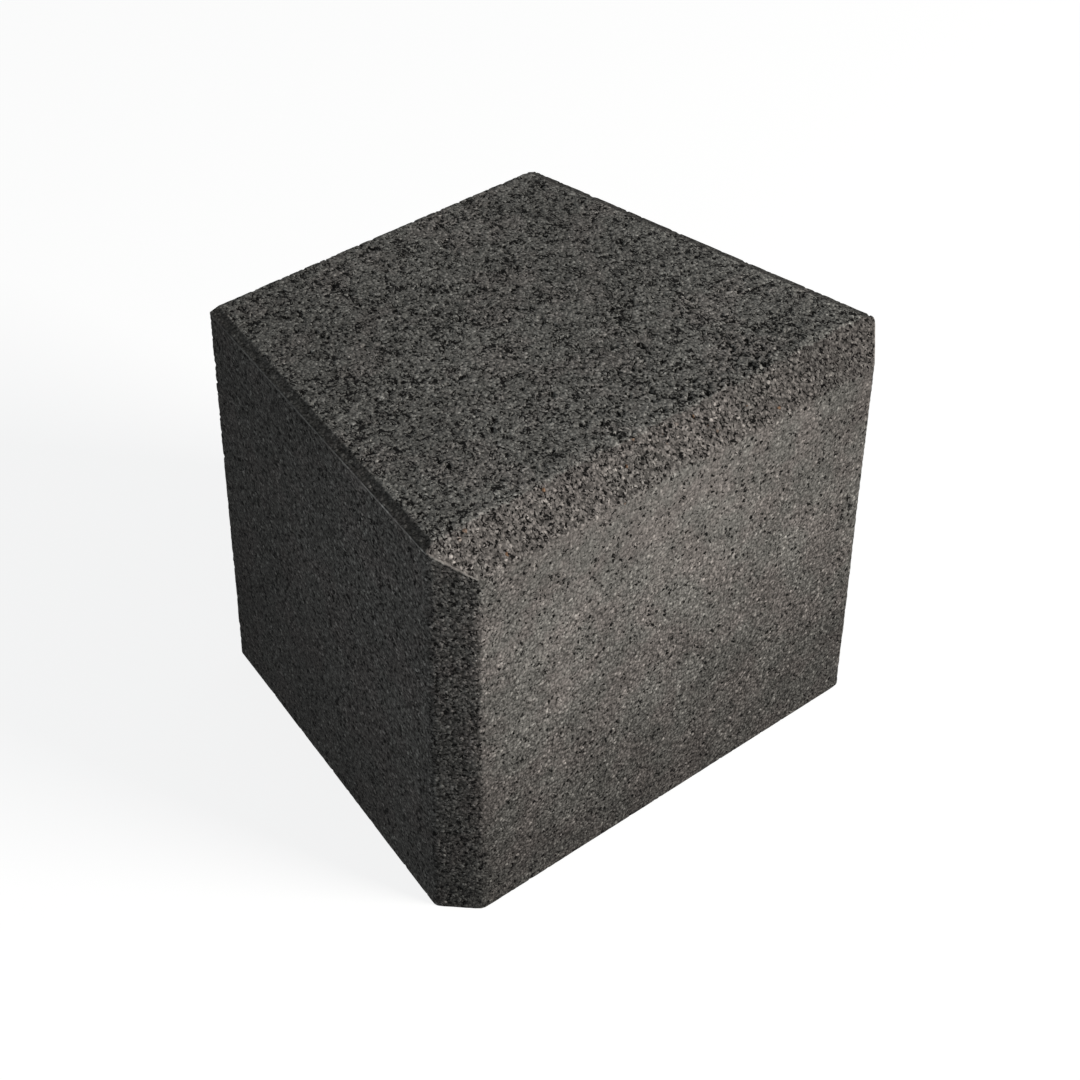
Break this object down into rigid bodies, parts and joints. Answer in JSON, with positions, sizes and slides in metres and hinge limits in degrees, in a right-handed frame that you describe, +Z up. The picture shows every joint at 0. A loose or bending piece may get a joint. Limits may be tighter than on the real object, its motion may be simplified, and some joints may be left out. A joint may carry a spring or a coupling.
{
  "type": "garden edging block",
  "caption": "Wedge-shaped pressed concrete edging block with bevelled front corners and a slanted band along its top front edge.",
  "frame": {"origin": "middle of the base, halfway across the front width and halfway along the depth", "axes": "+X to the right along the front, +Y from the wide front face to the narrow back face, +Z up from the base to the top"},
  "size_m": [0.1962, 0.16, 0.156],
  "materials": {
    "concrete": "open-textured pressed grey concrete with pits, fine grit and slightly worn edges"
  },
  "bodies": {
    "root": {"edging_block": "concrete"}
  },
  "joints": []
}
